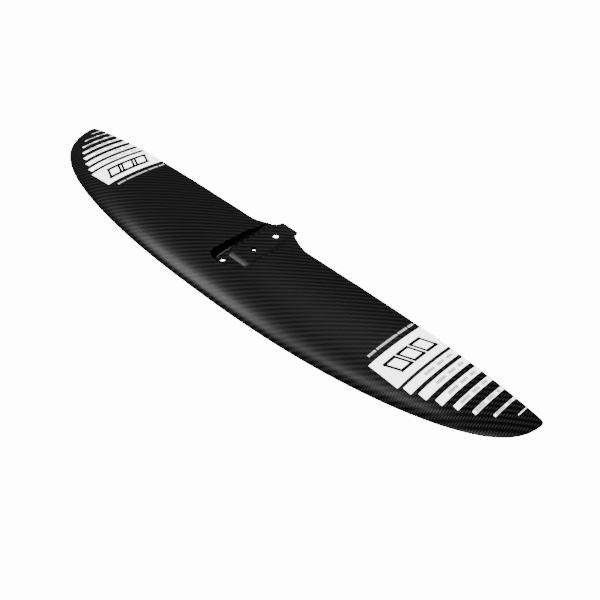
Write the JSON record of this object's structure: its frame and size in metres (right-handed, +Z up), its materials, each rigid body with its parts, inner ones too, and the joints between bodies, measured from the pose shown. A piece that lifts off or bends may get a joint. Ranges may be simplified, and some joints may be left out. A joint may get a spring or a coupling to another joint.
{
  "type": "hydrofoil front wing",
  "caption": "Slender carbon lifting wing with drooped tips, a recessed bolt-on seat in the middle of its upper face, a short tail tab and printed tip graphics.",
  "frame": {"origin": "below the middle of the wing's box, at the height of the lowest points of the two tips", "axes": "+X along the span to port, +Y towards the trailing edge, +Z up, out of the seat"},
  "size_m": [0.83, 0.1662, 0.0357],
  "materials": {
    "carbon": "clear-coated twill carbon laminate",
    "solid_carbon": "solid carbon laminate, satin",
    "spar_carbon": "unidirectional carbon, uncoated",
    "core_foam": "closed-cell core foam",
    "white_film": "printed white film under the clear coat"
  },
  "bodies": {
    "root": {"upper_skin": "carbon", "lower_skin": "carbon", "seat_block": "solid_carbon", "spar_cap_upper": "spar_carbon", "spar_cap_lower": "spar_carbon", "spar_web_front": "spar_carbon", "spar_web_rear": "spar_carbon", "spar_core": "core_foam", "front_core": "core_foam", "rear_core_port": "core_foam", "trailing_edge_strip_port": "solid_carbon", "tip_port": "solid_carbon", "data_panel_port": "white_film", "graphic_bar_port_1": "white_film", "graphic_bar_port_2": "white_film", "graphic_bar_port_3": "white_film", "graphic_bar_port_4": "white_film", "graphic_bar_port_5": "white_film", "graphic_bar_port_6": "white_film", "graphic_bar_port_7": "white_film", "rear_core_starboard": "core_foam", "trailing_edge_strip_starboard": "solid_carbon", "tip_starboard": "solid_carbon", "data_panel_starboard": "white_film", "graphic_bar_starboard_1": "white_film", "graphic_bar_starboard_2": "white_film", "graphic_bar_starboard_3": "white_film", "graphic_bar_starboard_4": "white_film", "graphic_bar_starboard_5": "white_film", "graphic_bar_starboard_6": "white_film", "graphic_bar_starboard_7": "white_film"}
  },
  "joints": []
}
